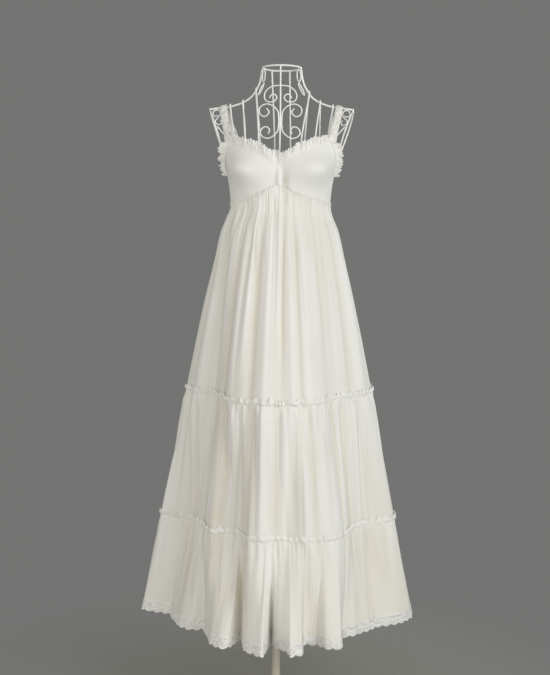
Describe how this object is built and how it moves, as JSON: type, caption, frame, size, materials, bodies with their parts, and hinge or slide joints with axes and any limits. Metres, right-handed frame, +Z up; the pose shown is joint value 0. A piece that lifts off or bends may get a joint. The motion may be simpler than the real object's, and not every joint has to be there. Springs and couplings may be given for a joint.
{
  "type": "tiered maxi dress on a limbless wire dress form",
  "caption": "Sleeveless maxi dress with gathered tiers, frilled seams and a scalloped lace hem, hanging on a wire dress form with a pole and a round foot.",
  "frame": {"origin": "middle of the underside of the round foot, on the floor under the pole", "axes": "+Z up along the pole, -Y towards the front of the dress, +X towards the wearer's left"},
  "size_m": [0.73, 0.6848, 1.694],
  "materials": {
    "dress_fabric": "ivory chiffon, soft and matt with a faint sheen",
    "lace_trim": "ivory cotton lace with small round holes",
    "white_wire": "white enamel on welded steel wire",
    "cream_stand": "cream satin paint on steel"
  },
  "bodies": {
    "root": {"arch_scroll_left": "white_wire", "arch_scroll_right": "white_wire", "arm_brace_left": "white_wire", "arm_brace_right": "white_wire", "arm_frill_left": "lace_trim", "arm_frill_right": "lace_trim", "arm_ring_left": "white_wire", "arm_ring_right": "white_wire", "back_rib_0_left": "white_wire", "back_rib_0_right": "white_wire", "back_rib_1_left": "white_wire", "back_rib_1_right": "white_wire", "back_rib_2_left": "white_wire", "back_rib_2_right": "white_wire", "back_rib_3_left": "white_wire", "back_rib_3_right": "white_wire", "base_plate": "cream_stand", "bodice_back": "dress_fabric", "c_scroll_left": "white_wire", "c_scroll_right": "white_wire", "centre_tab": "dress_fabric", "cup_left": "dress_fabric", "cup_right": "dress_fabric", "front_rib_1_left": "white_wire", "front_rib_1_right": "white_wire", "front_rib_2_left": "white_wire", "front_rib_2_right": "white_wire", "front_rib_3_left": "white_wire", "front_rib_3_right": "white_wire", "front_rib_middle": "white_wire", "heading_1_back": "dress_fabric", "heading_1_front": "dress_fabric", "heading_2_back": "dress_fabric", "heading_2_front": "dress_fabric", "hem_lace_back": "lace_trim", "hem_lace_front": "lace_trim", "hip_ring": "white_wire", "lower_neck_loop_left": "white_wire", "lower_neck_loop_right": "white_wire", "neck_frill_left": "lace_trim", "neck_frill_right": "lace_trim", "neck_loop_left": "white_wire", "neck_loop_right": "white_wire", "neck_ring": "white_wire", "pole": "cream_stand", "pole_head": "white_wire", "shoulder_scroll_left": "white_wire", "shoulder_scroll_right": "white_wire", "shoulder_wire_left": "white_wire", "shoulder_wire_right": "white_wire", "strap_left": "dress_fabric", "strap_right": "dress_fabric", "tier_1_back": "dress_fabric", "tier_1_front": "dress_fabric", "tier_2_back": "dress_fabric", "tier_2_front": "dress_fabric", "tier_3_back": "dress_fabric", "tier_3_front": "dress_fabric", "underbust_ring": "white_wire", "waist_ring": "white_wire"}
  },
  "joints": []
}
